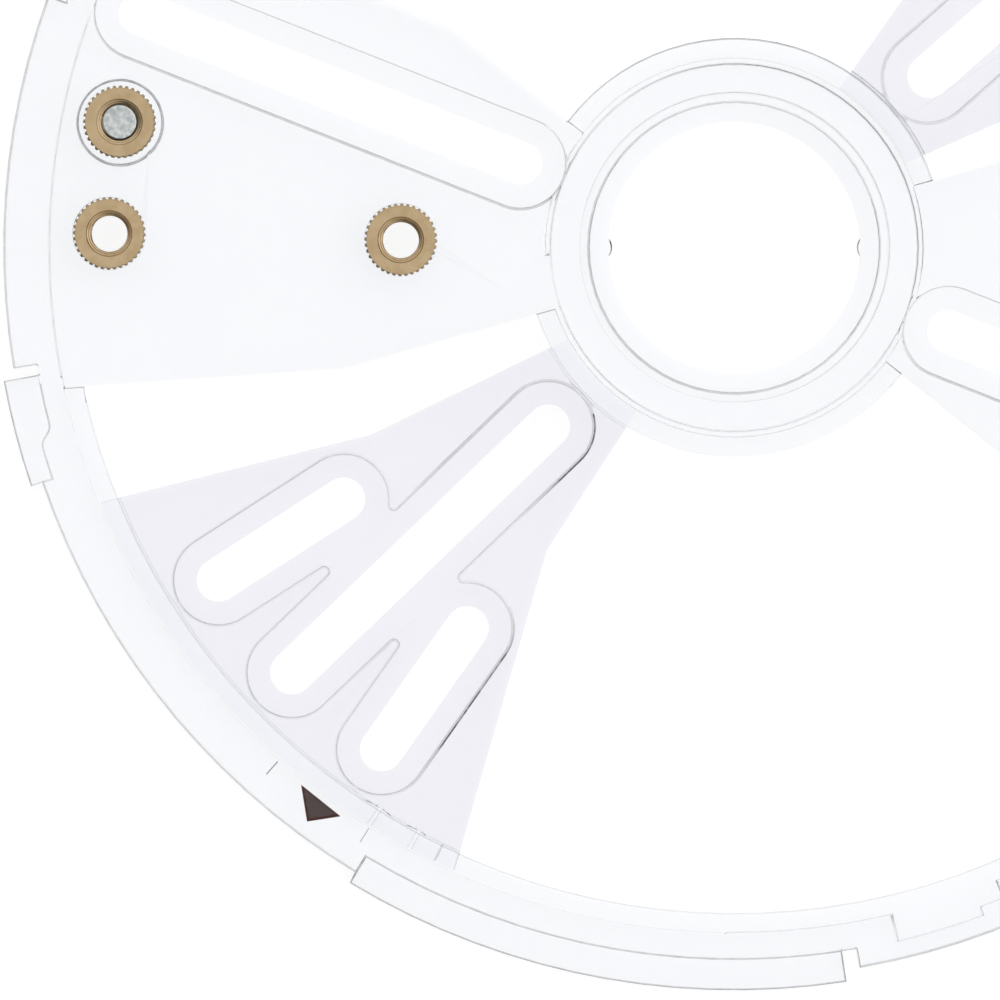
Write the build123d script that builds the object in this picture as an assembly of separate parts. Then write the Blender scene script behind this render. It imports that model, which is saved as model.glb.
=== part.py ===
from build123d import *
import math
import os

# Router base plate in clear plastic: a round plate with two turning slotted segments.
# Millimetres. The origin is on the bore axis at the underside, the face that slides on the work.
# +Z points at the router, and +X runs along the two fixed slots. Angles are degrees from +X.

# Plate as a whole
plate_thickness = 6.35
rim_radius = 87.4
rim_width = 5.4
edge_chamfer = 0.3
web_relief = 0.5
cut_overrun = 2.0
surface_clearance = 0.02

# Hub, with its seats for a guide bushing and the ring that locks it
bushing_bore_radius = 15.08
bushing_seat_width = 2.38
bushing_seat_depth = 2.4
lock_ring_step = 1.04
lock_ring_depth = 1.6
hub_wall_thickness = 4.1
hub_foot_width = 0.6
hub_foot_height = 0.25
foot_break_start_angle = 203.6
foot_break_span_angle = 16.7
key_rib_rounding = 1.8
key_rib_height = 0.45
key_rib_angle = 21.5
key_rib_count = 2

# Ledges that hold the segments' tongues, at the hub and at the rim
ledge_width = 2.4
ledge_thickness = 2.9

# Side outlines of a segment, as angles from its centre line, and each kink's place between hub and rim
clockwise_hub_angle = 15.0
clockwise_kink_angle = 16.6
clockwise_kink_share = 0.443
counter_hub_angle = 15.3
counter_kink_angle = 14.4
counter_kink_share = 0.338
segment_rim_angle = 21.98

# How the segments turn in their windows
window_centre_angle = 282.35
window_count = 2
segment_travel_angle = 93.5
stop_gap_angle = 0.3
front_rest_angle = 245.35
rear_rest_angle = 62.8
segment_side_clearance = 0.3
segment_lift_clearance = 0.15

# Slots for the router's own screws, each in a sunk bed for the screw heads
slot_width = 5.2
slot_bed_land = 2.9
slot_web = 2.3
smallest_land_width = 1.05
fixed_slot_hub_gap = 4.9
fixed_slot_rim_gap = 5.6
long_slot_hub_gap = 8.3
segment_slot_rim_gap = 8.6
short_slot_share = 0.419
short_slot_angle = 11.05

# Spring finger in a segment's outer tongue, and the thin toe at the tongue's end
finger_start_angle = 13.85
finger_end_angle = 17.75
finger_slit_width = 0.35
tongue_end_angle = 20.05
toe_thickness = 1.2

# Twist lugs round the rim
lug_reach = 1.5
lug_root_depth = 2.3
lug_thickness = 2.8
lug_start_angle = 20.3
lug_span_angle = 39.9
lug_notch_angle = 1.15
lug_count = 3

# Detent lug, with the stepped wall that clicks behind a catch
detent_start_angle = 211.85
detent_span_angle = 8.4
detent_notch_angle = 0.8
detent_root_depth = 2.8
detent_step_height = 1.5
detent_step_start_share = 0.48
detent_step_end_share = 0.70

# Stepped pocket in the rim beside each outer groove
rim_pocket_start_angle = 304.75
rim_pocket_deep_angle = 7.25
rim_pocket_span_angle = 9.25
rim_pocket_deep_depth = 3.3
rim_pocket_shallow_depth = 2.2

# Threaded brass inserts: two near the rim, and one further in on the outer one's line
insert_radius = 4.35
insert_tooth_depth = 0.3
insert_tooth_count = 36
insert_bore_radius = 2.15
insert_mouth_width = 0.6
insert_length = 3.75
insert_clear_width = 0.55
screw_insert_rim_distance = 12.4
screw_insert_angle = 190.0
outer_insert_rim_distance = 12.65
outer_insert_angle = 200.25
insert_spacing = 34.85

# Screw kept in one insert, its head sunk in the underside
screw_head_width = 2.0
screw_head_height = 2.0
screw_head_rounding = 0.6
screw_head_clearance = 0.95
screw_thread_clearance = 0.05
screw_length = 3.5
screw_tip_chamfer = 0.15
drive_width = 1.1
drive_length = 4.6
drive_depth = 1.1

# Worked out from the sizes above
bushing_seat_radius = bushing_bore_radius + bushing_seat_width
lock_ring_radius = bushing_seat_radius + lock_ring_step
hub_wall_radius = lock_ring_radius + hub_wall_thickness
rim_wall_radius = rim_radius - rim_width
inner_ledge_radius = hub_wall_radius + ledge_width
outer_ledge_radius = rim_wall_radius - ledge_width
ledge_underside = plate_thickness - ledge_thickness
window_depth = rim_wall_radius - hub_wall_radius
clockwise_kink_radius = hub_wall_radius + window_depth * clockwise_kink_share
counter_kink_radius = hub_wall_radius + window_depth * counter_kink_share
slot_half_width = slot_width / 2
bed_half_width = slot_half_width + slot_bed_land
bed_ceiling = plate_thickness - slot_web
fixed_slot_inner_radius = hub_wall_radius + fixed_slot_hub_gap
fixed_slot_outer_radius = rim_wall_radius - fixed_slot_rim_gap
long_slot_inner_radius = hub_wall_radius + long_slot_hub_gap
segment_slot_outer_radius = rim_wall_radius - segment_slot_rim_gap
long_slot_length = segment_slot_outer_radius - long_slot_inner_radius
short_slot_inner_radius = segment_slot_outer_radius - long_slot_length * short_slot_share
lug_radius = rim_radius + lug_reach
lug_root_radius = rim_radius - lug_root_depth
detent_inner_radius = rim_radius - detent_root_depth
detent_outer_radius = detent_inner_radius + detent_step_height
insert_underside = plate_thickness - insert_length
insert_mouth_radius = insert_bore_radius + insert_mouth_width
insert_clear_radius = insert_bore_radius + insert_clear_width
screw_head_radius = insert_bore_radius + screw_head_width
screw_insert_distance = rim_radius - screw_insert_rim_distance
outer_insert_distance = rim_radius - outer_insert_rim_distance
inner_insert_distance = outer_insert_distance - insert_spacing


def polar(radius, angle):
    """Point at a radius and an angle in degrees."""
    turned = math.radians(angle)
    return (radius * math.cos(turned), radius * math.sin(turned))


def arc_between(radius, start, end):
    """Arc about the origin, from one angle to another."""
    return ThreePointArc(polar(radius, start), polar(radius, (start + end) / 2), polar(radius, end))


def ring(inner, outer):
    """Flat ring about the origin."""
    return Circle(outer) - Circle(inner)


def ring_sector(inner, outer, start, end):
    """Part of a flat ring between two angles."""
    edges = [
        arc_between(outer, start, end),
        Line(polar(outer, end), polar(inner, end)),
        arc_between(inner, end, start),
        Line(polar(inner, start), polar(outer, start)),
    ]
    return make_face(edges)


def raised(face, low, high):
    """Flat face turned into a solid between two heights."""
    return Pos(0, 0, low) * extrude(face, amount=high - low)


def sector_outline(clockwise_turn, counter_turn):
    """Sector from hub to rim with kinked sides, each side turned by its own angle."""
    clockwise = [
        polar(hub_wall_radius, clockwise_turn - clockwise_hub_angle),
        polar(clockwise_kink_radius, clockwise_turn - clockwise_kink_angle),
        polar(rim_wall_radius, clockwise_turn - segment_rim_angle),
    ]
    counter = [
        polar(hub_wall_radius, counter_turn + counter_hub_angle),
        polar(counter_kink_radius, counter_turn + counter_kink_angle),
        polar(rim_wall_radius, counter_turn + segment_rim_angle),
    ]
    rim_ends = (clockwise_turn - segment_rim_angle, counter_turn + segment_rim_angle)
    hub_ends = (counter_turn + counter_hub_angle, clockwise_turn - clockwise_hub_angle)
    edges = [
        arc_between(rim_wall_radius, *rim_ends),
        Line(counter[2], counter[1]),
        Line(counter[1], counter[0]),
        arc_between(hub_wall_radius, *hub_ends),
        Line(clockwise[0], clockwise[1]),
        Line(clockwise[1], clockwise[2]),
    ]
    return make_face(edges)


def slot_shape(inner, outer, half_width, angle):
    """Round-ended slot along a radius, between its two end centres."""
    shape = SlotCenterToCenter(outer - inner, half_width * 2)
    return Rot(0, 0, angle) * Pos((inner + outer) / 2, 0) * shape


def cut_slots(slots, turn):
    """Through slots and the bed round them, open to the underside."""
    rounding = smallest_land_width / 2
    opening = Sketch()
    bed = Sketch()
    for inner, outer, angle in slots:
        opening += slot_shape(inner, outer, slot_half_width, angle)
        bed += slot_shape(inner, outer, bed_half_width + rounding, angle)
    bed = offset(bed, amount=-rounding, kind=Kind.ARC)
    through = raised(opening, -cut_overrun, plate_thickness + cut_overrun)
    sunk = raised(bed, -cut_overrun, bed_ceiling)
    return Rot(0, 0, turn) * (through + sunk)


def blank_disc():
    """Plain disc with both outer edges broken."""
    disc = raised(Circle(rim_radius), 0, plate_thickness)
    return chamfer(disc.edges(), edge_chamfer)


def hub_bores():
    """Bushing bore, its flange seat below and the lock ring's recess above."""
    bore = Circle(bushing_bore_radius)
    for index in range(key_rib_count):
        rib_distance = bushing_bore_radius - key_rib_height + key_rib_rounding
        rib = Pos(rib_distance, 0) * Circle(key_rib_rounding)
        bore -= Rot(0, 0, key_rib_angle + index * 360 / key_rib_count) * rib
    through = raised(bore, -cut_overrun, plate_thickness + cut_overrun)
    seat = raised(Circle(bushing_seat_radius), -cut_overrun, bushing_seat_depth)
    recess_floor = plate_thickness - lock_ring_depth
    recess = raised(Circle(lock_ring_radius), recess_floor, plate_thickness + cut_overrun)
    return through + seat + recess


def hub_foot():
    """Low step round the hub's foot at the underside, level with the web where the step breaks off."""
    inner = hub_wall_radius - hub_foot_width
    foot_break = ring_sector(inner, hub_wall_radius, 0, foot_break_span_angle)
    foot = raised(ring(inner, hub_wall_radius), -cut_overrun, hub_foot_height)
    return [foot, Rot(0, 0, foot_break_start_angle) * raised(foot_break, -cut_overrun, web_relief)]


def windows():
    """Windows for the segments: open between the ledges, with a groove under each ledge."""
    swing = segment_travel_angle / 2 + stop_gap_angle
    outline = sector_outline(-swing, swing)
    opening = outline & ring(inner_ledge_radius, outer_ledge_radius)
    through = raised(opening, -cut_overrun, plate_thickness + cut_overrun)
    groove = raised(outline, -cut_overrun, ledge_underside)
    cut = through + groove + rim_pocket()
    turns = [window_centre_angle + index * 360 / window_count for index in range(window_count)]
    return [Rot(0, 0, turn) * cut for turn in turns]


def rim_pocket():
    """Pocket that widens the outer groove into the rim in two steps."""
    start = rim_pocket_start_angle - window_centre_angle
    step = start + rim_pocket_deep_angle
    end = start + rim_pocket_span_angle
    pocket = ring_sector(outer_ledge_radius, rim_wall_radius + rim_pocket_deep_depth, start, step)
    pocket += ring_sector(outer_ledge_radius, rim_wall_radius + rim_pocket_shallow_depth, step, end)
    return raised(pocket, -cut_overrun, ledge_underside)


def lug_shapes():
    """Flanges of the twist lugs, with the space above and the notch beside each."""
    beyond = lug_radius + cut_overrun
    flange = ring_sector(lug_root_radius, lug_radius, 0, lug_span_angle)
    above = ring_sector(lug_root_radius, beyond, 0, lug_span_angle)
    notch = ring_sector(lug_root_radius, beyond, lug_span_angle, lug_span_angle + lug_notch_angle)
    added = raised(flange, 0, lug_thickness)
    cut = raised(above, lug_thickness, plate_thickness + cut_overrun)
    cut += raised(notch, -cut_overrun, plate_thickness + cut_overrun)
    turns = [lug_start_angle + index * 360 / lug_count for index in range(lug_count)]
    return [Rot(0, 0, turn) * added for turn in turns], [Rot(0, 0, turn) * cut for turn in turns]


def detent_shapes():
    """Flange of the detent lug, with the stepped wall and the notch beside it."""
    beyond = lug_radius + cut_overrun
    step_start = detent_span_angle * detent_step_start_share
    step_end = detent_span_angle * detent_step_end_share
    flange = ring_sector(detent_inner_radius, lug_radius, 0, detent_span_angle)
    step_middle = (step_start + step_end) / 2
    step = Bezier(
        polar(detent_inner_radius, step_start),
        polar(detent_inner_radius, step_middle),
        polar(detent_outer_radius, step_middle),
        polar(detent_outer_radius, step_end),
    )
    wall = make_face([
        arc_between(beyond, 0, detent_span_angle),
        Line(polar(beyond, detent_span_angle), polar(detent_outer_radius, detent_span_angle)),
        arc_between(detent_outer_radius, detent_span_angle, step_end),
        step,
        arc_between(detent_inner_radius, step_start, 0),
        Line(polar(detent_inner_radius, 0), polar(beyond, 0)),
    ])
    notch = ring_sector(detent_inner_radius, beyond, -detent_notch_angle, 0)
    added = raised(flange, 0, lug_thickness)
    cut = raised(wall, lug_thickness, plate_thickness + cut_overrun)
    cut += raised(notch, -cut_overrun, plate_thickness + cut_overrun)
    place = Rot(0, 0, detent_start_angle)
    return place * added, place * cut


def insert_place(distance, angle):
    """Place of an insert's axis at the underside."""
    x, y = polar(distance, angle)
    return Pos(x, y, 0)


def insert_seats():
    """Holes for the three inserts, and the pocket for the stored screw's head."""
    top = plate_thickness + cut_overrun
    seat = raised(Circle(insert_radius + surface_clearance), insert_underside, top)
    clear = raised(Circle(insert_clear_radius), -cut_overrun, top)
    pocket = raised(Circle(screw_head_radius + screw_head_clearance), -cut_overrun, insert_underside)
    return [
        insert_place(screw_insert_distance, screw_insert_angle) * (seat + clear + pocket),
        insert_place(outer_insert_distance, outer_insert_angle) * (seat + clear),
        insert_place(inner_insert_distance, outer_insert_angle) * (seat + clear),
    ]


def base_plate():
    """The round moulding that carries everything else."""
    plate = blank_disc()
    lugs, lug_cuts = lug_shapes()
    detent, detent_cut = detent_shapes()
    for lug in lugs + [detent]:
        plate += lug
    plate -= raised(ring(hub_wall_radius, rim_wall_radius), -cut_overrun, web_relief)
    for cut in lug_cuts + [detent_cut] + windows() + insert_seats():
        plate -= cut
    for cut in [hub_bores()] + hub_foot():
        plate -= cut
    for turn in (0, 180):
        plate -= cut_slots([(fixed_slot_inner_radius, fixed_slot_outer_radius, 0)], turn)
    return plate


def finger_slits():
    """Two slits that free a spring finger in the outer tongue."""
    slits = Sketch()
    body_radius = outer_ledge_radius - segment_side_clearance
    length = rim_wall_radius - body_radius + cut_overrun
    for angle in (finger_start_angle, finger_end_angle):
        slit = Pos(body_radius + length / 2, 0) * Rectangle(length, finger_slit_width)
        slits += Rot(0, 0, angle) * slit
    return raised(slits, -cut_overrun, ledge_underside)


def segment():
    """Slotted segment on its own centre line: full height inside, a thin tongue at each end."""
    outline = sector_outline(0, 0)
    body_face = outline & ring(
        inner_ledge_radius + segment_side_clearance,
        outer_ledge_radius - segment_side_clearance,
    )
    tongue_face = outline & ring(
        hub_wall_radius + segment_side_clearance,
        rim_wall_radius - segment_side_clearance,
    )
    beyond_end = ring_sector(
        outer_ledge_radius - segment_side_clearance,
        rim_wall_radius + cut_overrun,
        tongue_end_angle,
        2 * segment_rim_angle,
    )
    body = raised(body_face, web_relief, plate_thickness)
    body += raised(tongue_face - beyond_end, web_relief, ledge_underside - segment_lift_clearance)
    body += raised(tongue_face & beyond_end, web_relief, web_relief + toe_thickness)
    body -= finger_slits()
    body -= cut_slots(
        [
            (long_slot_inner_radius, segment_slot_outer_radius, 0),
            (short_slot_inner_radius, segment_slot_outer_radius, short_slot_angle),
            (short_slot_inner_radius, segment_slot_outer_radius, -short_slot_angle),
        ],
        0,
    )
    return body


def threaded_insert():
    """Brass insert with straight teeth outside and a countersunk mouth."""
    points = []
    for index in range(insert_tooth_count):
        start = index * 360 / insert_tooth_count
        points.append(polar(insert_radius, start))
        points.append(polar(insert_radius - insert_tooth_depth, start + 180 / insert_tooth_count))
    toothed = make_face(Polyline(*points, close=True))
    body = raised(toothed, insert_underside, plate_thickness)
    body -= raised(Circle(insert_bore_radius), -cut_overrun, plate_thickness + cut_overrun)
    mouth = Cone(insert_bore_radius, insert_mouth_radius, insert_mouth_width)
    return body - Pos(0, 0, plate_thickness - insert_mouth_width / 2) * mouth


def stored_screw():
    """Pan-head screw from below, its head against the insert."""
    shank_radius = insert_bore_radius - screw_thread_clearance
    head_base = insert_underside - screw_head_height
    head = raised(Circle(screw_head_radius), head_base, insert_underside)
    head = fillet(head.edges().sort_by(Axis.Z)[0], screw_head_rounding)
    shank = raised(Circle(shank_radius), insert_underside, insert_underside + screw_length)
    shank = chamfer(shank.edges().sort_by(Axis.Z)[-1], screw_tip_chamfer)
    drive = Rectangle(drive_length, drive_width) + Rectangle(drive_width, drive_length)
    return head + shank - raised(drive, head_base - cut_overrun, head_base + drive_depth)


def build_parts():
    """Every piece by name, in its place at rest."""
    one_segment = segment()
    one_insert = threaded_insert()
    screw_place = insert_place(screw_insert_distance, screw_insert_angle)
    return {
        "base_plate": base_plate(),
        "front_segment": Rot(0, 0, front_rest_angle) * one_segment,
        "rear_segment": Rot(0, 0, rear_rest_angle) * one_segment,
        "screw_insert": screw_place * one_insert,
        "outer_insert": insert_place(outer_insert_distance, outer_insert_angle) * one_insert,
        "inner_insert": insert_place(inner_insert_distance, outer_insert_angle) * one_insert,
        "stored_screw": screw_place * stored_screw(),
    }


os.makedirs("parts", exist_ok=True)
for name, solid in build_parts().items():
    export_step(solid, "parts/" + name + ".step")
    print(name, round(solid.volume, 1), "mm3")
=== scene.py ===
import bpy
import bmesh
import math
from mathutils import Matrix, Vector


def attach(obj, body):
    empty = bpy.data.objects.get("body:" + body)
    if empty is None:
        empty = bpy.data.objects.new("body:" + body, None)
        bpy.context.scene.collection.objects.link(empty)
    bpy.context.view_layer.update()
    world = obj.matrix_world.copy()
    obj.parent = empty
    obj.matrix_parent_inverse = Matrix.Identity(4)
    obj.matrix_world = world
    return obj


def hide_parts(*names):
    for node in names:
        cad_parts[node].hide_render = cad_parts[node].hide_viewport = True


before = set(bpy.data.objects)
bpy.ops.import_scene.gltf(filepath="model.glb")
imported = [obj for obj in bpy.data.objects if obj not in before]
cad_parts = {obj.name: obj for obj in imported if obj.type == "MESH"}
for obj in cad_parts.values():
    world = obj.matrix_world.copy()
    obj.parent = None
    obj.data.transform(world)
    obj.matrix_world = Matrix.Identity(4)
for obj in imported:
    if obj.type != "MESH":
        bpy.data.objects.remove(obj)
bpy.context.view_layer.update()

MM = 0.001

# The photograph's camera: almost straight down, turned with the plate's two fixed slots
CAMERA_PLACE = (-0.01502, -0.03838, 1.800)
PLATE_TURN = math.radians(21.5)
LENS_MM = 540.6
SENSOR_MM = 36.0

# Moulded edges of the plate and the segments: how far they are broken, and what stays crisp. A crisp wall
# lies between two radii and two angles.
PLATE_BREAK_MM = 0.16
SEGMENT_BREAK_MM = 0.22
EDGE_FULLNESS = 0.8
EDGE_STEPS = 2
LONGEST_BREAK_MM = 3.0
BROKEN_ANGLE = math.radians(30)
THROUGH_HEIGHT = 5.8
LEDGE_ENDS = (25.2, 79.4)
BORE_BAND = (14.98, 15.3)
PLATE_CRISP_WALLS = [(21.9, 22.8, 219.5, 221.5), (81.6, 82.4, 213.6, 290.0)]
SEGMENT_CRISP_WALLS = [(22.0, 24.9, 0.0, 360.0), (81.5, 82.4, 0.0, 360.0)]
SLOT_HALF_WIDTH = 2.6
SHARP_ANGLE = math.radians(15)
FLAT_ANGLE = math.radians(0.5)
WELD_MM = 0.001
MATCH_MM = 0.02
NEAR_MM = 0.1
WALL_TILT = 0.3
RADIAL_SHARE = 0.5
RIM_RADIUS = 87.4
RIM_CHAMFER = 0.3

# Brass inserts: axis as distance and angle from the plate's axis, and the form in millimetres
INSERT_TOP = 6.35
INSERT_BASE = 2.6
INSERT_RADIUS = 4.35
TOOTH_ROOT_RADIUS = 4.1
TOOTH_COUNT = 36
COLUMNS_PER_TOOTH = 4
TOOTH_BEVEL = 0.08
MOUTH_STEPS = [(2.78, 0.0), (2.66, 0.15), (2.5, 0.2), (2.43, 0.29), (2.26, 0.37)]
MOUTH_DEPTH = 0.45
BORE_RADIUS = 2.15
INSERTS = {"screw_insert": (75.0, 190.0), "outer_insert": (74.75, 200.25), "inner_insert": (39.9, 200.25)}

# Slots' end centres, as distances and an angle from the plate's axis, in the plate and in a segment, where
# the angle is from the segment's own middle
PLATE_SLOTS = [(27.5, 76.4, 0.0), (27.5, 76.4, 180.0)]
SEGMENT_SLOTS = [(30.9, 73.4, 0.0), (55.6, 73.4, 11.05), (55.6, 73.4, -11.05)]
FRONT_REST_ANGLE = 245.35
REAR_REST_ANGLE = 62.8

# How much shade is painted on the plate's broken edges, from 0 to 1. A round edge lies between two radii and
# has a tone, what it gains on one side, where more shade is painted, and that side's angle. The others go by
# what they belong to.
RING_LINE_SHADES = [
    (14.0, 14.98, 0.9, 0.0, 0.0),
    (17.2, 17.7, 0.5, 0.12, 246.0),
    (18.2, 18.8, 0.08, 0.08, 60.0),
    (21.8, 22.3, 0.25, 0.1, 90.0),
    (22.4, 22.8, 0.0, 0.0, 0.0),
    (24.5, 25.5, 0.3, 0.35, 111.5),
    (79.2, 79.9, 0.15, 0.0, 0.0),
    (81.6, 82.4, 0.0, 0.25, 180.0),
    (84.4, 85.6, 0.6, 0.0, 0.0),
    (86.5, 87.5, 0.52, 0.0, 0.0),
    (88.5, 89.0, 0.6, 0.0, 0.0),
]
PLATE_SLOT_LINE = (0.2, 0.4, 300.0)
POCKET_LINE = (83.0, 86.5, 304.0, 315.0, 0.1)
RADIAL_LINE = 0.8
FAINT_RADIAL_LINE = (210.0, 222.0, 0.4)
SCREW_POCKET_LINE = 0.85
PLATE_LINE = 0.5
BED_REACH = 6.2

# The same painted edge shade for the segments: the least tone, the share of it that edges near the router's
# side keep, what the beds gain at the hub, and the places of the front one where the most shade is painted,
# each with its distance, angle, reach, the side that it faces and its tone
SEGMENT_LINE = 0.12
UPPER_EDGE_HEIGHT = 3.0
UPPER_EDGE_SHARE = 0.1
HUB_LINE_GAIN = 0.25
HUB_LINE_REACH = (30.0, 45.0)
SAME_SIDE = 0.5
SHADE_PLACE_FULLNESS = 1.6
FRONT_SHADE_PLACES = [
    (29.8, 256.1, 14.0, 335.0, 1.0),
    (62.7, 261.8, 16.0, 345.0, 1.0),
    (37.9, 236.5, 14.0, 155.0, 0.6),
    (80.8, 259.2, 3.0, 169.2, 0.55),
    (80.8, 263.1, 3.0, 173.1, 0.3),
    (80.8, 265.4, 2.0, 175.4, 0.6),
]

# Thin toe at the end of a segment's outer tongue, left matt
TOE_TOP = 1.7

# Where the segments thin down to their tongues over and under the plate's ledges
TONGUE_RADII = (24.98, 79.62)

# Thread inside the inserts and on the screw
THREAD_PITCH = 0.8
THREAD_DEPTH = 0.33
ROWS_PER_TURN = 12
THREAD_END_CHAMFER = 0.3
THREAD_FLANK = (0.12, 0.88)

# Screw kept in the first insert
SCREW_CREST_RADIUS = 2.35
SCREW_THREAD_DEPTH = 0.4
SCREW_TIP_RADIUS = 1.96
SCREW_TOP = 6.1
SCREW_COLUMNS = 96
SCREW_RUN_OUT = 0.1
SCREW_END_BREAK = (0.04, 0.06)
HEAD_BASE = 0.6
HEAD_OUTLINE = [
    (0, 0.6), (2.5, 0.62), (3.35, 0.74), (3.8, 0.98), (4.05, 1.34), (4.15, 1.8), (4.15, 2.5), (4.05, 2.6)]
DRIVE_HALF_LENGTH = 2.3
DRIVE_HALF_WIDTH = 0.55
DRIVE_DEPTH = 1.1
DRIVE_TAPER = 0.72
DRIVE_OVERRUN = 0.3

# Marks on the rim, as distances and angles from the plate's axis
MARK_TOP = 6.36
MARK_DEPTH = 0.08
POINTER_CORNERS = [(82.5, 252.6), (85.55, 254.83), (82.7, 256.8)]
POINTER_DISH = 0.05
TICK_WIDTH = 0.13
TICKS = {"long_tick": (82.2, 84.25, 249.88, "grey"), "short_tick": (82.0, 84.0, 259.3, "faint")}


def linear(hex_colour, alpha=1.0):
    """sRGB hex turned to a linear colour."""
    channels = [int(hex_colour[i:i + 2], 16) / 255 for i in (0, 2, 4)]
    return [c / 12.92 if c <= 0.04045 else ((c + 0.055) / 1.055) ** 2.4 for c in channels] + [alpha]


def per_metre(size_mm):
    """How many of a pattern's features of this size fit in a metre, for its Scale."""
    return 1.0 / (size_mm * MM)


def polar(radius, angle, height=0.0):
    """Point in metres, from a radius and height in millimetres and an angle in degrees."""
    turned = math.radians(angle)
    return Vector((radius * math.cos(turned), radius * math.sin(turned), height)) * MM


def add_node(tree, kind, links=None, **settings):
    """A node with its own settings, and its sockets set or fed from other nodes' outputs."""
    node = tree.nodes.new(kind)
    for name, value in settings.items():
        setattr(node, name, value)
    for socket, value in (links or {}).items():
        if isinstance(value, bpy.types.NodeSocket):
            tree.links.new(value, node.inputs[socket])
        else:
            node.inputs[socket].default_value = value
    return node


def new_material(name):
    """An empty node material and its tree."""
    material = bpy.data.materials.new(name)
    material.use_nodes = True
    material.node_tree.nodes.clear()
    return material, material.node_tree


# ---- Materials -------------------------------------------------------------------------------------------


def polycarbonate(name, tints, shadow, roughness, thin_tints=None):
    """Injection-moulded clear polycarbonate: glassy, faintly blue, with the long soft ripple of a mould.

    The ripple is about 12 mm across, as flow leaves it, and the roughness follows fine wiping marks of
    about 0.8 mm. Light passes to what is below with little loss, least of all in the thin tongues.
    """
    material, tree = new_material(name)
    place = add_node(tree, "ShaderNodeTexCoord").outputs["Object"]
    flow = add_node(tree, "ShaderNodeTexNoise", {"Vector": place, "Scale": per_metre(12.0), "Detail": 2.0})
    wiping = add_node(tree, "ShaderNodeTexNoise", {"Vector": place, "Scale": per_metre(0.8), "Detail": 3.0})
    tone = add_node(tree, "ShaderNodeMix", {
        0: flow.outputs["Fac"], 6: linear(tints[0]), 7: linear(tints[1])}, data_type="RGBA")
    if thin_tints:
        flat = add_node(tree, "ShaderNodeVectorMath", {0: place, 1: (1.0, 1.0, 0.0)}, operation="MULTIPLY")
        radius = add_node(tree, "ShaderNodeVectorMath", {0: flat.outputs[0]}, operation="LENGTH")
        radius = radius.outputs["Value"]
        near = add_node(tree, "ShaderNodeMath", {0: radius, 1: TONGUE_RADII[0] * MM}, operation="LESS_THAN")
        far = add_node(tree, "ShaderNodeMath", {0: radius, 1: TONGUE_RADII[1] * MM}, operation="GREATER_THAN")
        either = add_node(tree, "ShaderNodeMath", {0: near.outputs[0], 1: far.outputs[0]}, operation="ADD")
        thin = add_node(tree, "ShaderNodeMix", {
            0: flow.outputs["Fac"], 6: linear(thin_tints[0]), 7: linear(thin_tints[1])}, data_type="RGBA")
        tone = add_node(tree, "ShaderNodeMix", {
            0: either.outputs[0], 6: tone.outputs[2], 7: thin.outputs[2]}, data_type="RGBA")
    haze = add_node(tree, "ShaderNodeMapRange", {
        "Value": wiping.outputs["Fac"], "To Min": roughness * 0.6, "To Max": roughness * 1.4})
    relief = add_node(tree, "ShaderNodeBump", {
        "Height": flow.outputs["Fac"], "Strength": 0.02, "Distance": 0.2 * MM})
    plastic = add_node(tree, "ShaderNodeBsdfPrincipled", {
        "Base Color": tone.outputs[2],
        "Roughness": haze.outputs["Result"],
        "IOR": 1.585,
        "Transmission Weight": 1.0,
        "Normal": relief.outputs["Normal"],
    })
    clear = add_node(tree, "ShaderNodeBsdfTransparent", {"Color": linear(shadow)})
    rays = add_node(tree, "ShaderNodeLightPath")
    mixed = add_node(tree, "ShaderNodeMixShader", {
        0: rays.outputs["Is Shadow Ray"], 1: plastic.outputs["BSDF"], 2: clear.outputs["BSDF"]})
    add_node(tree, "ShaderNodeOutputMaterial", {"Surface": mixed.outputs["Shader"]})
    return material


def edge_with_painted_shade(name, tints, roughness):
    """The same plastic where an edge is broken, with painted shade: its colour is mixed towards a near-black
    tint, so that it reads as a grey line where the break would bend the light away sideways.

    How much shade is painted follows the painted line shade kept at each place, darker on the sides facing
    given angles, with breaks in it of about 1.5 mm where the edge is crisper.
    """
    material = polycarbonate(name, tints, "F4F4F6", roughness)
    tree = material.node_tree
    plastic = next(node for node in tree.nodes if node.type == "BSDF_PRINCIPLED")
    place = add_node(tree, "ShaderNodeTexCoord").outputs["Object"]
    tone = add_node(tree, "ShaderNodeAttribute", attribute_name="painted line shade").outputs["Fac"]
    crisp = add_node(tree, "ShaderNodeTexNoise", {
        "Vector": place, "Scale": per_metre(1.5), "Detail": 2.0}).outputs[0]
    crisp = add_node(tree, "ShaderNodeMapRange", {
        "Value": crisp, "From Min": 0.35, "From Max": 0.65, "To Min": 0.85, "To Max": 1.1}).outputs[0]
    tone = add_node(tree, "ShaderNodeMath", {
        0: tone, 1: crisp}, operation="MULTIPLY", use_clamp=True).outputs[0]
    # Painted shade: the edge's colour goes from the clear tint towards the near-black one as the painted line
    # shade rises
    colour = add_node(tree, "ShaderNodeMix", {
        0: tone, 6: linear(tints[0]), 7: linear(tints[1])}, data_type="RGBA").outputs[2]
    tree.links.new(colour, plastic.inputs["Base Color"])
    return material


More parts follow.
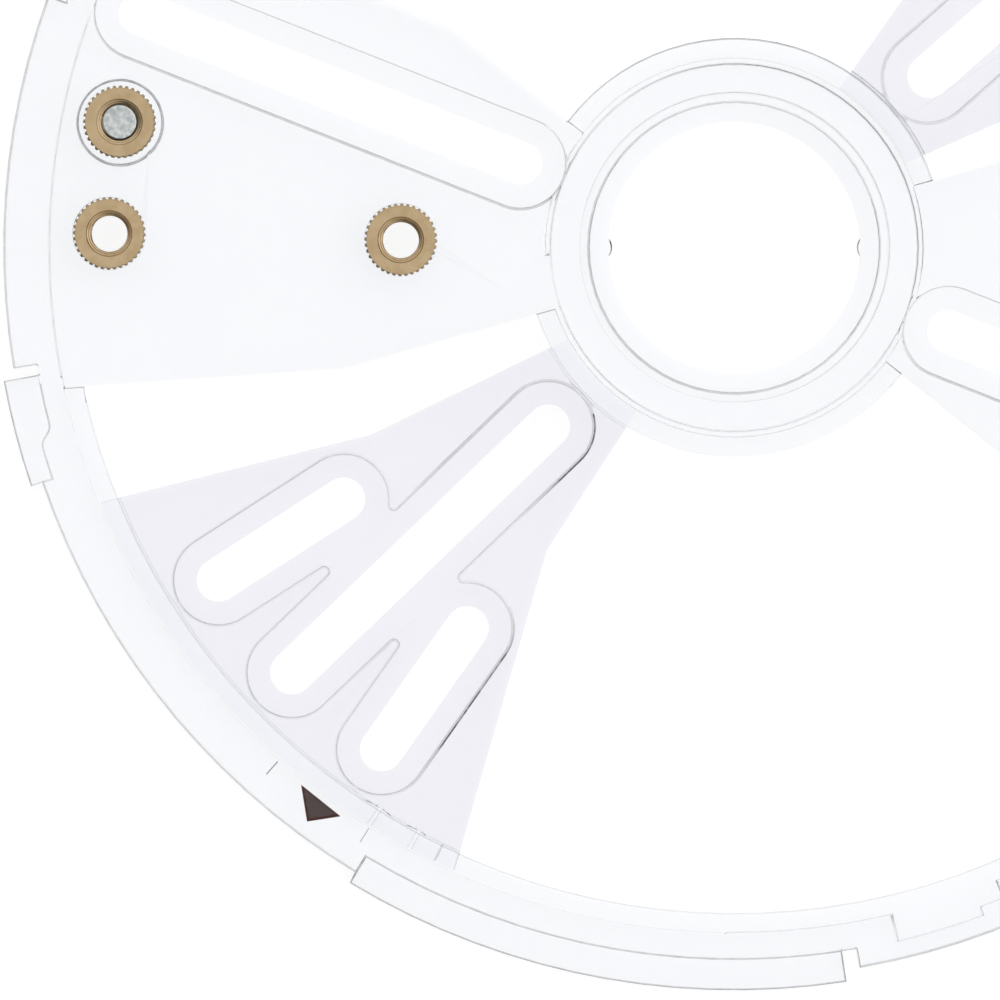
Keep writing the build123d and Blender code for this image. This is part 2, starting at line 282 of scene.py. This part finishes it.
def turned_brass():
    """Free-cutting brass turned in a bar lathe and left unplated: warm yellow, painted darker on the teeth.

    The tool leaves rings round the axis, drawn 0.16 mm apart because the real 0.05 mm wouldn't show, and
    handling stains it in soft patches of about 1.5 mm. The toothed rim is painted darker, as painted shade
    between the teeth.
    """
    material, tree = new_material("turned free-cutting brass")
    turning = add_node(tree, "ShaderNodeAttribute", attribute_name="turning")
    radius = add_node(tree, "ShaderNodeSeparateXYZ", {0: turning.outputs["Vector"]}).outputs["X"]
    place = add_node(tree, "ShaderNodeTexCoord").outputs["Object"]
    ring = add_node(tree, "ShaderNodeMath", {
        0: radius, 1: 2 * math.pi * per_metre(0.16)}, operation="MULTIPLY")
    ring = add_node(tree, "ShaderNodeMath", {0: ring.outputs[0]}, operation="SINE")
    stain = add_node(tree, "ShaderNodeTexNoise", {"Vector": place, "Scale": per_metre(1.5), "Detail": 4.0})
    grit = add_node(tree, "ShaderNodeTexNoise", {"Vector": place, "Scale": per_metre(0.15), "Detail": 2.0})
    spread = add_node(tree, "ShaderNodeMapRange", {
        "Value": stain.outputs["Fac"], "From Min": 0.35, "From Max": 0.65})
    face = add_node(tree, "ShaderNodeMix", {
        0: spread.outputs["Result"], 6: linear("B69E7A"), 7: linear("C7AF8B")}, data_type="RGBA")
    # Painted shade: beyond the teeth's root the brass is mixed to a darker tone
    tooth_shade = add_node(tree, "ShaderNodeMapRange", {
        "Value": radius,
        "From Min": (TOOTH_ROOT_RADIUS - NEAR_MM) * MM,
        "From Max": (TOOTH_ROOT_RADIUS + NEAR_MM) * MM,
    })
    colour = add_node(tree, "ShaderNodeMix", {
        0: tooth_shade.outputs["Result"], 6: face.outputs[2], 7: linear("A08F70")}, data_type="RGBA")
    rough = add_node(tree, "ShaderNodeMapRange", {
        "Value": stain.outputs["Fac"], "From Min": 0.3, "From Max": 0.7, "To Min": 0.26, "To Max": 0.42})
    height = add_node(tree, "ShaderNodeMath", {
        0: grit.outputs["Fac"], 1: 0.5, 2: ring.outputs[0]}, operation="MULTIPLY_ADD")
    relief = add_node(tree, "ShaderNodeBump", {
        "Height": height.outputs[0], "Strength": 0.12, "Distance": 0.01 * MM})
    metal = add_node(tree, "ShaderNodeBsdfPrincipled", {
        "Base Color": colour.outputs[2],
        "Metallic": 1.0,
        "Roughness": rough.outputs["Result"],
        "Normal": relief.outputs["Normal"],
    })
    add_node(tree, "ShaderNodeOutputMaterial", {"Surface": metal.outputs["BSDF"]})
    return material


def zinc_plated_steel():
    """Cold-headed steel, zinc plated in a barrel: pale blue-grey, mottled where pieces rubbed in the barrel.

    The mottling is about 0.6 mm across, and the blasted-looking grain under it about 0.12 mm.
    """
    material, tree = new_material("barrel zinc plated steel")
    place = add_node(tree, "ShaderNodeTexCoord").outputs["Object"]
    rubbed = add_node(tree, "ShaderNodeTexNoise", {"Vector": place, "Scale": per_metre(0.6), "Detail": 3.0})
    grain = add_node(tree, "ShaderNodeTexNoise", {"Vector": place, "Scale": per_metre(0.12), "Detail": 2.0})
    patch = add_node(tree, "ShaderNodeMapRange", {
        "Value": rubbed.outputs["Fac"], "From Min": 0.38, "From Max": 0.62})
    colour = add_node(tree, "ShaderNodeMix", {
        0: patch.outputs["Result"], 6: linear("B4BABA"), 7: linear("D8DBDA")}, data_type="RGBA")
    rough = add_node(tree, "ShaderNodeMapRange", {
        "Value": rubbed.outputs["Fac"], "To Min": 0.5, "To Max": 0.3})
    relief = add_node(tree, "ShaderNodeBump", {
        "Height": grain.outputs["Fac"], "Strength": 0.35, "Distance": 0.03 * MM})
    metal = add_node(tree, "ShaderNodeBsdfPrincipled", {
        "Base Color": colour.outputs[2],
        "Metallic": 1.0,
        "Roughness": rough.outputs["Result"],
        "Normal": relief.outputs["Normal"],
    })
    add_node(tree, "ShaderNodeOutputMaterial", {"Surface": metal.outputs["BSDF"]})
    return material


def marking_ink(name, colours, roughness):
    """Marking ink stamped or scribed in the rim's face, in two tones, a little uneven where it took.

    The uneven patches are about 0.5 mm across.
    """
    material, tree = new_material(name)
    place = add_node(tree, "ShaderNodeTexCoord").outputs["Object"]
    cover = add_node(tree, "ShaderNodeTexNoise", {"Vector": place, "Scale": per_metre(0.5), "Detail": 3.0})
    colour = add_node(tree, "ShaderNodeMix", {
        0: cover.outputs["Fac"], 6: linear(colours[0]), 7: linear(colours[1])}, data_type="RGBA")
    relief = add_node(tree, "ShaderNodeBump", {
        "Height": cover.outputs["Fac"], "Strength": 0.2, "Distance": 0.02 * MM})
    ink = add_node(tree, "ShaderNodeBsdfPrincipled", {
        "Base Color": colour.outputs[2],
        "Roughness": roughness,
        "Specular IOR Level": 0.05,
        "Normal": relief.outputs["Normal"],
    })
    add_node(tree, "ShaderNodeOutputMaterial", {"Surface": ink.outputs["BSDF"]})
    return material


clear_plate = polycarbonate("moulded clear polycarbonate", ("F6F7FA", "F8F9FB"), "FBFBFC", 0.015)
clear_segment = polycarbonate(
    "moulded clear polycarbonate of the segments", ("EEEEF4", "F1F1F6"), "F8F8FB", 0.02, ("FAFAFD", "FCFCFE"))
# Broken edges painted from the clear tint towards a near-black one: painted shade
plate_shaded_edge = edge_with_painted_shade("darkened edge of clear polycarbonate, painted shade", ("F8F9FB", "141519"), 0.05)
segment_shaded_edge = edge_with_painted_shade("darkened edge of a clear segment, painted shade", ("F2F2F8", "0E0E12"), 0.05)
matt_toe = polycarbonate("spark-eroded matt face of a segment", ("C9CACF", "DCDDE2"), "F2F2F6", 0.4)
brass = turned_brass()
zinc = zinc_plated_steel()
black_ink = marking_ink("black hot-stamped ink", ("0C0A0C", "171316"), 0.4)
brown_ink = marking_ink("brown-black hot-stamped ink", ("3E2A28", "62443E"), 0.45)
grey_ink = marking_ink("grey scribed line", ("86888E", "9C9EA4"), 0.5)
faint_ink = marking_ink("faint scribed line", ("BEC0C4", "CED0D4"), 0.5)


# ---- Pieces ----------------------------------------------------------------------------------------------


def add_piece(name, mesh):
    """An object for a mesh whose place is in its points."""
    mesh.name = name
    piece = bpy.data.objects.new(name, mesh)
    bpy.context.scene.collection.objects.link(piece)
    return piece


def bake_form(piece):
    """The modifiers' result as the piece's own plain mesh."""
    finished = bpy.data.meshes.new_from_object(piece.evaluated_get(bpy.context.evaluated_depsgraph_get()))
    piece.modifiers.clear()
    piece.data = finished
    finished.shade_smooth()
    finished.set_sharp_from_angle(angle=SHARP_ANGLE)
    return finished


def from_slots(point, slots):
    """How far a flat point in millimetres lies from the nearest slot's centre line."""
    distances = []
    for inner, outer, angle in slots:
        along = polar(1.0 / MM, angle)
        place = min(max(point.dot(along), inner), outer)
        distances.append((point - along * place).length)
    return min(distances)


def cosine_to(direction, angle):
    """Cosine between a flat direction and an angle in degrees."""
    return direction.normalized().dot(polar(1.0 / MM, angle)) if direction.length else 0.0


def angle_of(point):
    """A flat point's angle from 0 to 360 degrees."""
    return math.degrees(math.atan2(point.y, point.x)) % 360


def stays_crisp(point, slots, crisp_walls):
    """Whether a wall at a flat point in millimetres is the bore's, a slot's, an insert's or a crisp one."""
    if BORE_BAND[0] < point.length < BORE_BAND[1] or from_slots(point, slots) < SLOT_HALF_WIDTH + NEAR_MM:
        return True
    for low, high, start, end in crisp_walls:
        if low < point.length < high and start <= angle_of(point) <= end:
            return True
    return any((point - polar(*place) / MM).length < INSERT_RADIUS + NEAR_MM for place in INSERTS.values())


def painted_plate_shade(point, facing, _height):
    """How much shade is painted on the plate's edge at a flat point in millimetres, facing this way, at any
    height.
    """
    if from_slots(point, PLATE_SLOTS) < BED_REACH:
        tone, gain, angle = PLATE_SLOT_LINE
        return tone + gain * cosine_to(facing, angle)
    if (point - polar(*INSERTS["screw_insert"]) / MM).length < BED_REACH:
        return SCREW_POCKET_LINE
    low, high, start, end, tone = POCKET_LINE
    if low < point.length < high and start < angle_of(point) < end:
        return tone
    if abs(facing.dot(point.normalized())) < RADIAL_SHARE * facing.length:
        start, end, tone = FAINT_RADIAL_LINE
        return tone if start < angle_of(point) < end else RADIAL_LINE
    # Painted shade: a ring edge is darker on the side that faces the given angle
    for low, high, tone, gain, angle in RING_LINE_SHADES:
        if low < point.length < high:
            return tone + gain * cosine_to(point, angle)
    return PLATE_LINE


def painted_segment_shade(slots, shade_places):
    """The same painted shade rule for a segment with these slots at rest."""
    near, far = HUB_LINE_REACH

    def shade_at(point, facing, height):
        tone = SEGMENT_LINE
        if from_slots(point, slots) < BED_REACH:
            tone += HUB_LINE_GAIN * min(max((far - point.length) / (far - near), 0.0), 1.0)
        # Painted shade: darker where an edge near one of these places faces its given side
        for distance, angle, reach, side, most in shade_places:
            closeness = 1.0 - (point - polar(distance, angle) / MM).length / reach
            if closeness > 0 and cosine_to(facing, side) > SAME_SIDE:
                tone = max(tone, most * min(1.0, SHADE_PLACE_FULLNESS * closeness))
        return tone * UPPER_EDGE_SHARE if height > UPPER_EDGE_HEIGHT else tone

    return shade_at


def side_of(edge):
    """Flat direction from the air into the solid, at the upright wall beside an edge."""
    for face in edge.link_faces:
        if abs(face.normal.z) < WALL_TILT:
            return Vector((-face.normal.x, -face.normal.y, 0.0))
    return Vector((0.0, 0.0, 0.0))


def square_rim(form):
    """Takes the rim's chamfer back to a plain corner, so that it is broken like the other edges."""
    for vert in form.verts:
        flat = Vector((vert.co.x, vert.co.y)) / MM
        if abs(flat.length - (RIM_RADIUS - RIM_CHAMFER)) < MATCH_MM:
            vert.co.xy = flat * MM * RIM_RADIUS / flat.length


def moulded(node, name, materials, slots, crisp_walls, shade_rule, width, body):
    """The node's solid with its edges broken as a mould leaves them, their colour darkened as painted shade:
    face, edge and matt materials.
    """
    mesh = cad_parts[node].data.copy()
    form = bmesh.new()
    form.from_mesh(mesh)
    bmesh.ops.remove_doubles(form, verts=form.verts, dist=WELD_MM * MM)
    square_rim(form)
    form.normal_update()
    bmesh.ops.dissolve_limit(form, angle_limit=FLAT_ANGLE, verts=form.verts, edges=form.edges)
    broken = form.edges.layers.float.new("bevel_weight_edge")
    for edge in list(form.edges):
        middle = (edge.verts[0].co + edge.verts[1].co) / 2 / MM
        middle.z = 0.0
        level = abs(edge.verts[0].co.z - edge.verts[1].co.z) < WELD_MM * MM
        at_ledge_end = not LEDGE_ENDS[0] < middle.length < LEDGE_ENDS[1]
        at_ledge_end = at_ledge_end and abs(side_of(edge).dot(middle.normalized())) < RADIAL_SHARE
        at_rim = level and abs(middle.length - RIM_RADIUS) < NEAR_MM
        if edge.calc_face_angle(0.0) > BROKEN_ANGLE and (at_rim or at_ledge_end or not stands_tall(edge)):
            if not stays_crisp(middle, slots, crisp_walls):
                edge[broken] = 1.0
                cuts = int(edge.calc_length() / MM / LONGEST_BREAK_MM)
                if cuts:
                    bmesh.ops.bisect_edges(form, edges=[edge], cuts=cuts)
    for face in form.faces:
        on_toe = all(abs(vert.co.z / MM - TOE_TOP) < MATCH_MM for vert in face.verts)
        face.material_index = 2 if on_toe else 0
    bmesh.ops.triangulate(form, faces=form.faces)
    form.to_mesh(mesh)
    form.free()
    mesh.materials.clear()
    for material in materials:
        mesh.materials.append(material)
    piece = add_piece(name, mesh)
    breaking = piece.modifiers.new("broken edges", "BEVEL")
    breaking.width = width * MM
    breaking.segments = EDGE_STEPS
    breaking.profile = EDGE_FULLNESS
    breaking.limit_method = "WEIGHT"
    breaking.use_clamp_overlap = False
    breaking.loop_slide = False
    breaking.material = 1
    mesh = bake_form(piece)
    # Painted shade: each broken edge's corners keep how much shade is painted there, by place, facing and
    # height
    painted_shades = mesh.attributes.new("painted line shade", "FLOAT", "CORNER")
    sides = {}
    for face in mesh.polygons:
        for edge in face.edge_keys:
            sides.setdefault(edge, set()).add(face.material_index == 1)
        if face.material_index == 1:
            facing = Vector((-face.normal.x, -face.normal.y, 0.0))
            for corner in face.loop_indices:
                place = mesh.vertices[mesh.loops[corner].vertex_index].co / MM
                painted_shades.data[corner].value = shade_rule(Vector((place.x, place.y, 0.0)), facing, place.z)
    for edge in mesh.edges:
        if len(sides[tuple(sorted(edge.vertices))]) == 2:
            edge.use_edge_sharp = True
    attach(piece, body)
    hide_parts(node)
    return piece


def stands_tall(edge):
    """Whether the edge ends an upright wall that goes through the whole thickness."""
    for face in edge.link_faces:
        heights = [vert.co.z / MM for vert in face.verts]
        if max(heights) - min(heights) > THROUGH_HEIGHT:
            return True
    return False


def turned_mesh(name, outline, columns, first_angle=0.0):
    """A closed lathe form: (radius, height) points in millimetres swept round the axis.

    An outline that doesn't start on the axis closes on its own first point, as a tube does.
    """
    form = bmesh.new()
    rings = []
    for radius, height in outline:
        if radius:
            rings.append([
                form.verts.new(polar(radius, first_angle + 360 * column / columns, height))
                for column in range(columns)])
        else:
            rings.append([form.verts.new((0, 0, height * MM))] * columns)
    pairs = list(zip(rings, rings[1:]))
    if outline[0][0]:
        pairs.append((rings[-1], rings[0]))
    for lower, upper in pairs:
        for column in range(columns):
            after = (column + 1) % columns
            corners = dict.fromkeys((lower[column], lower[after], upper[after], upper[column]))
            form.faces.new(corners)
    bmesh.ops.recalc_face_normals(form, faces=form.faces)
    mesh = bpy.data.meshes.new(name)
    form.to_mesh(mesh)
    form.free()
    return mesh


def cutting_tree():
    """Cuts straight teeth round a turned form's outside, and a helical thread in one of its walls."""
    tree = bpy.data.node_groups.new("teeth and thread", "GeometryNodeTree")
    tree.is_modifier = True
    tree.interface.new_socket("Geometry", in_out="INPUT", socket_type="NodeSocketGeometry")
    for label in ("Teeth", "Tooth root", "Thread wall", "Thread depth", "Pitch"):
        tree.interface.new_socket(label, in_out="INPUT", socket_type="NodeSocketFloat")
    tree.interface.new_socket("Finish", in_out="INPUT", socket_type="NodeSocketMaterial")
    tree.interface.new_socket("Geometry", in_out="OUTPUT", socket_type="NodeSocketGeometry")
    given = add_node(tree, "NodeGroupInput").outputs
    place = add_node(tree, "GeometryNodeInputPosition").outputs[0]
    part = add_node(tree, "ShaderNodeSeparateXYZ", {0: place}).outputs
    flat = add_node(tree, "ShaderNodeCombineXYZ", {0: part["X"], 1: part["Y"]}).outputs[0]
    radius = add_node(tree, "ShaderNodeVectorMath", {0: flat}, operation="LENGTH").outputs["Value"]
    angle = add_node(tree, "ShaderNodeMath", {0: part["Y"], 1: part["X"]}, operation="ARCTAN2").outputs[0]

    # Tooth: 1 at a tip, 0 in a valley, flat on both
    wave = add_node(tree, "ShaderNodeMath", {0: angle, 1: given["Teeth"]}, operation="MULTIPLY").outputs[0]
    wave = add_node(tree, "ShaderNodeMath", {0: wave}, operation="COSINE").outputs[0]
    valley = add_node(tree, "ShaderNodeMapRange", {
        "Value": wave, "From Min": -math.sqrt(0.5), "From Max": math.sqrt(0.5), "To Min": 1.0, "To Max": 0.0,
    }).outputs[0]
    proud = add_node(tree, "ShaderNodeMath", {
        0: radius, 1: given["Tooth root"]}, operation="SUBTRACT").outputs[0]
    proud = add_node(tree, "ShaderNodeMath", {0: proud, 1: 0.0}, operation="MAXIMUM").outputs[0]
    tooth_cut = add_node(tree, "ShaderNodeMath", {0: proud, 1: valley}, operation="MULTIPLY").outputs[0]

    # Thread: the height in turns less the angle in turns gives the place across one thread
    turns = add_node(tree, "ShaderNodeMath", {0: part["Z"], 1: given["Pitch"]}, operation="DIVIDE").outputs[0]
    lead = add_node(tree, "ShaderNodeMath", {0: angle, 1: 2 * math.pi}, operation="DIVIDE").outputs[0]
    across = add_node(tree, "ShaderNodeMath", {0: turns, 1: lead}, operation="SUBTRACT").outputs[0]
    across = add_node(tree, "ShaderNodeMath", {0: across, 1: 1.0}, operation="PINGPONG").outputs[0]
    flank = add_node(tree, "ShaderNodeMapRange", {
        "Value": across, "From Min": THREAD_FLANK[0], "From Max": THREAD_FLANK[1]}).outputs[0]
    on_wall = add_node(tree, "ShaderNodeMath", {
        0: radius, 1: given["Thread wall"], 2: WELD_MM * MM}, operation="COMPARE").outputs[0]
    cut = add_node(tree, "ShaderNodeMath", {
        0: flank, 1: given["Thread depth"]}, operation="MULTIPLY").outputs[0]
    thread_cut = add_node(tree, "ShaderNodeMath", {0: cut, 1: on_wall}, operation="MULTIPLY").outputs[0]

    both = add_node(tree, "ShaderNodeMath", {0: thread_cut, 1: tooth_cut}, operation="SUBTRACT").outputs[0]
    outward = add_node(tree, "ShaderNodeVectorMath", {0: flat}, operation="NORMALIZE").outputs[0]
    shift = add_node(tree, "ShaderNodeVectorMath", {0: outward, "Scale": both}, operation="SCALE").outputs[0]
    turning = add_node(tree, "ShaderNodeCombineXYZ", {0: radius, 1: angle, 2: part["Z"]}).outputs[0]
    kept = add_node(tree, "GeometryNodeStoreNamedAttribute", {
        "Geometry": given["Geometry"], "Name": "turning", "Value": turning}, data_type="FLOAT_VECTOR")
    moved = add_node(tree, "GeometryNodeSetPosition", {"Geometry": kept.outputs[0], "Offset": shift})
    real = add_node(tree, "GeometryNodeRealizeInstances", {0: moved.outputs[0]})
    done = add_node(tree, "GeometryNodeSetMaterial", {
        "Geometry": real.outputs[0], "Material": given["Finish"]})
    add_node(tree, "NodeGroupOutput", {0: done.outputs[0]})
    return tree


def cut_teeth_and_thread(piece, tree, sizes):
    """Runs the cutting tree on a turned piece with these sizes."""
    cutting = piece.modifiers.new("cutting", "NODES")
    cutting.node_group = tree
    for item in tree.interface.items_tree:
        if item.name in sizes:
            cutting[item.identifier] = sizes[item.name]
    return bake_form(piece)


def thread_rows(radius, low, high):
    """Close rows of a wall that gets a thread."""
    count = round((high - low) / THREAD_PITCH * ROWS_PER_TURN)
    return [(radius, low + (high - low) * row / count) for row in range(count + 1)]


def brass_insert(node, name, tree):
    """Knurled and threaded brass insert, pressed in flush with the router's side."""
    distance, angle = INSERTS[node]
    mouth_base = INSERT_TOP - MOUTH_DEPTH
    outline = [
        (TOOTH_ROOT_RADIUS, INSERT_BASE),
        (INSERT_RADIUS, INSERT_BASE + TOOTH_BEVEL),
        (INSERT_RADIUS, INSERT_TOP - TOOTH_BEVEL),
        (TOOTH_ROOT_RADIUS, INSERT_TOP),
    ]
    outline += [(radius, INSERT_TOP - depth) for radius, depth in MOUTH_STEPS]
    outline += reversed(thread_rows(BORE_RADIUS, INSERT_BASE + THREAD_END_CHAMFER, mouth_base))
    outline.append((BORE_RADIUS + THREAD_DEPTH, INSERT_BASE))
    columns = TOOTH_COUNT * COLUMNS_PER_TOOTH
    piece = add_piece(name, turned_mesh(name, outline, columns, -180 / columns))
    mesh = cut_teeth_and_thread(piece, tree, {
        "Teeth": float(TOOTH_COUNT), "Tooth root": TOOTH_ROOT_RADIUS * MM, "Thread wall": BORE_RADIUS * MM,
        "Thread depth": THREAD_DEPTH * MM, "Pitch": THREAD_PITCH * MM, "Finish": brass})
    mesh.transform(Matrix.Translation(polar(distance, angle)))
    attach(piece, "plate")
    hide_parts(node)


def drive_cutter():
    """Tapered cross for the driver, cut upwards into the screw's head."""
    long, thin = DRIVE_HALF_LENGTH, DRIVE_HALF_WIDTH
    arms = [(long, thin), (thin, thin), (thin, long), (-thin, long), (-thin, thin), (-long, thin),
            (-long, -thin), (-thin, -thin), (-thin, -long), (thin, -long), (thin, -thin), (long, -thin)]
    form = bmesh.new()
    low, high = [
        [form.verts.new(Vector((x * share, y * share, height)) * MM) for x, y in arms]
        for share, height in ((1.0, HEAD_BASE - DRIVE_OVERRUN), (DRIVE_TAPER, HEAD_BASE + DRIVE_DEPTH))]
    for index in range(len(arms)):
        after = (index + 1) % len(arms)
        form.faces.new((low[index], low[after], high[after], high[index]))
    form.faces.new(low)
    form.faces.new(high)
    bmesh.ops.triangulate(form, faces=[face for face in form.faces if len(face.verts) > 4])
    bmesh.ops.recalc_face_normals(form, faces=form.faces)
    mesh = bpy.data.meshes.new("drive_cutter")
    form.to_mesh(mesh)
    form.free()
    return add_piece("drive_cutter", mesh)


def kept_screw(tree):
    """Pan-head screw from below, with its thread in the insert and its end just under the insert's face."""
    head_top = HEAD_OUTLINE[-1][1]
    down, across = SCREW_END_BREAK
    outline = HEAD_OUTLINE + [(SCREW_TIP_RADIUS, head_top)]
    outline += thread_rows(SCREW_CREST_RADIUS, head_top + SCREW_RUN_OUT, SCREW_TOP - THREAD_END_CHAMFER)
    outline += [
        (SCREW_TIP_RADIUS + down, SCREW_TOP - down), (SCREW_TIP_RADIUS - across, SCREW_TOP), (0, SCREW_TOP)]
    piece = add_piece("screw", turned_mesh("screw", outline, SCREW_COLUMNS))
    cut_teeth_and_thread(piece, tree, {
        "Teeth": 1.0, "Tooth root": INSERT_RADIUS * 2 * MM, "Thread wall": SCREW_CREST_RADIUS * MM,
        "Thread depth": -SCREW_THREAD_DEPTH * MM, "Pitch": THREAD_PITCH * MM, "Finish": zinc})
    cutter = drive_cutter()
    recess = piece.modifiers.new("recess", "BOOLEAN")
    recess.object = cutter
    recess.solver = "EXACT"
    mesh = bake_form(piece)
    bpy.data.objects.remove(cutter)
    mesh.transform(Matrix.Translation(polar(*INSERTS["screw_insert"])))
    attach(piece, "plate")
    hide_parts("stored_screw")


def prism(name, outline, low, high, materials, dish=0.0):
    """A flat mark from points in metres. A dished one sinks to its middle and has the second ink on top."""
    form = bmesh.new()
    base = [form.verts.new(Vector((x, y, low * MM))) for x, y in outline]
    top = [form.verts.new(Vector((x, y, high * MM))) for x, y in outline]
    for index in range(len(outline)):
        after = (index + 1) % len(outline)
        form.faces.new((base[index], base[after], top[after], top[index]))
    form.faces.new(base)
    field = form.faces.new(top)
    if dish:
        field.normal_update()
        for face in bmesh.ops.poke(form, faces=[field], offset=-dish * MM)["faces"]:
            face.material_index = 1
    bmesh.ops.recalc_face_normals(form, faces=form.faces)
    mesh = bpy.data.meshes.new(name)
    form.to_mesh(mesh)
    form.free()
    for material in materials:
        mesh.materials.append(material)
    piece = add_piece(name, mesh)
    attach(piece, "plate")
    return piece


def rim_marks():
    """The pointer and the two ticks that the segments are read against, in the rim under its face."""
    corners = [polar(*corner) for corner in POINTER_CORNERS]
    prism("pointer", [(c.x, c.y) for c in corners], MARK_TOP - MARK_DEPTH, MARK_TOP,
          (black_ink, brown_ink), POINTER_DISH)
    for name, (inner, outer, angle, ink) in TICKS.items():
        along = polar(1.0 / MM, angle)
        aside = Vector((-along.y, along.x)) * TICK_WIDTH / 2 * MM
        ends = [Vector((along.x, along.y)) * radius * MM for radius in (inner, outer)]
        outline = [ends[0] - aside, ends[1] - aside, ends[1] + aside, ends[0] + aside]
        prism(name, [(c.x, c.y) for c in outline], MARK_TOP - MARK_DEPTH, MARK_TOP,
              (grey_ink if ink == "grey" else faint_ink,))


segment_skins = (clear_segment, segment_shaded_edge, matt_toe)
moulded("base_plate", "plate_moulding", (clear_plate, plate_shaded_edge), PLATE_SLOTS, PLATE_CRISP_WALLS, painted_plate_shade,
        PLATE_BREAK_MM, "plate")
for side, rest_angle, shade_places in (
        ("front", FRONT_REST_ANGLE, FRONT_SHADE_PLACES), ("rear", REAR_REST_ANGLE, [])):
    turned_slots = [(inner, outer, angle + rest_angle) for inner, outer, angle in SEGMENT_SLOTS]
    moulded(side + "_segment", side + "_segment_moulding", segment_skins, turned_slots, SEGMENT_CRISP_WALLS,
            painted_segment_shade(turned_slots, shade_places), SEGMENT_BREAK_MM, side + "_slotted_segment")
cutting = cutting_tree()
brass_insert("screw_insert", "insert_with_screw", cutting)
brass_insert("outer_insert", "insert_near_rim", cutting)
brass_insert("inner_insert", "insert_near_hub", cutting)
kept_screw(cutting)
rim_marks()


# ---- Floor, light and camera -----------------------------------------------------------------------------

FLOOR_HALF = 3.0
FLOOR_DROP = -0.2 * MM
FLOOR_GLOW = 0.85
FLOOR_SHARE = "8C8C8C"
DARK_SIDE_ANGLE = math.radians(66.5)
DARK_SIDE_EDGE = (0.1, 0.75)
DARK_SIDE_LIGHT = 0.04
KEY_PLACE = (0.5, 0.45, 0.9)
KEY_SIZE = 0.9
KEY_POWER = 0.8

floor_mesh = bpy.data.meshes.new("floor")
floor_mesh.from_pydata(
    [(x * FLOOR_HALF, y * FLOOR_HALF, FLOOR_DROP) for x, y in ((-1, -1), (1, -1), (1, 1), (-1, 1))],
    [], [(0, 1, 2, 3)])
floor = add_piece("floor", floor_mesh)

# White paper: what the camera sees, straight or through plastic and metal, is near white and keeps a soft
# shadow; every other ray meets plain white paper
paper, tree = new_material("white paper")
rays = add_node(tree, "ShaderNodeLightPath").outputs
seen = add_node(tree, "ShaderNodeMath", {
    0: rays["Is Camera Ray"], 1: rays["Is Glossy Ray"]}, operation="MAXIMUM")
seen = add_node(tree, "ShaderNodeMath", {
    0: seen.outputs[0], 1: rays["Is Transmission Ray"]}, operation="MAXIMUM")
sheet = add_node(tree, "ShaderNodeBsdfDiffuse", {"Color": linear("F4F4F4")})
shaded = add_node(tree, "ShaderNodeBsdfDiffuse", {"Color": linear(FLOOR_SHARE)})
glow = add_node(tree, "ShaderNodeEmission", {"Color": linear("FFFFFF"), "Strength": FLOOR_GLOW})
lit = add_node(tree, "ShaderNodeAddShader", {0: shaded.outputs["BSDF"], 1: glow.outputs["Emission"]})
shown = add_node(tree, "ShaderNodeMixShader", {
    0: seen.outputs[0], 1: sheet.outputs["BSDF"], 2: lit.outputs["Shader"]})
add_node(tree, "ShaderNodeOutputMaterial", {"Surface": shown.outputs["Shader"]})
floor_mesh.materials.append(paper)

# A studio that is white all round but for the dark room low on the photograph's lower left
DARK_SIDE = (-math.cos(DARK_SIDE_ANGLE), -math.sin(DARK_SIDE_ANGLE), 0.0)
world = bpy.data.worlds.new("studio")
bpy.context.scene.world = world
world.use_nodes = True
tree = world.node_tree
tree.nodes.clear()
rays = add_node(tree, "ShaderNodeLightPath").outputs
way = add_node(tree, "ShaderNodeTexCoord").outputs["Generated"]
across = add_node(tree, "ShaderNodeVectorMath", {0: way, 1: DARK_SIDE}, operation="DOT_PRODUCT")
shade = add_node(tree, "ShaderNodeMapRange", {
    "Value": across.outputs["Value"], "From Min": DARK_SIDE_EDGE[0], "From Max": DARK_SIDE_EDGE[1],
    "To Min": 1.0, "To Max": DARK_SIDE_LIGHT})
around = add_node(tree, "ShaderNodeBackground", {"Color": shade.outputs["Result"], "Strength": 1.0})
white = add_node(tree, "ShaderNodeBackground", {"Color": linear("FFFFFF"), "Strength": 1.0})
both = add_node(tree, "ShaderNodeMixShader", {
    0: rays["Is Camera Ray"], 1: around.outputs[0], 2: white.outputs[0]})
add_node(tree, "ShaderNodeOutputWorld", {"Surface": both.outputs["Shader"]})


def soft_light(name, place, size, power):
    """A soft box that looks at the plate."""
    lamp = bpy.data.lights.new(name, "AREA")
    lamp.shape = "DISK"
    lamp.size = size
    lamp.energy = power
    box = bpy.data.objects.new(name, lamp)
    box.location = place
    box.rotation_euler = (-Vector(place)).to_track_quat("-Z", "Y").to_euler()
    bpy.context.scene.collection.objects.link(box)


soft_light("key", KEY_PLACE, KEY_SIZE, KEY_POWER)

camera_data = bpy.data.cameras.new("camera")
camera_data.lens = LENS_MM
camera_data.sensor_width = SENSOR_MM
camera = bpy.data.objects.new("camera", camera_data)
camera.location = CAMERA_PLACE
camera.rotation_euler = (0, 0, PLATE_TURN)
bpy.context.scene.collection.objects.link(camera)
bpy.context.scene.camera = camera
bpy.context.scene.view_settings.view_transform = "Standard"
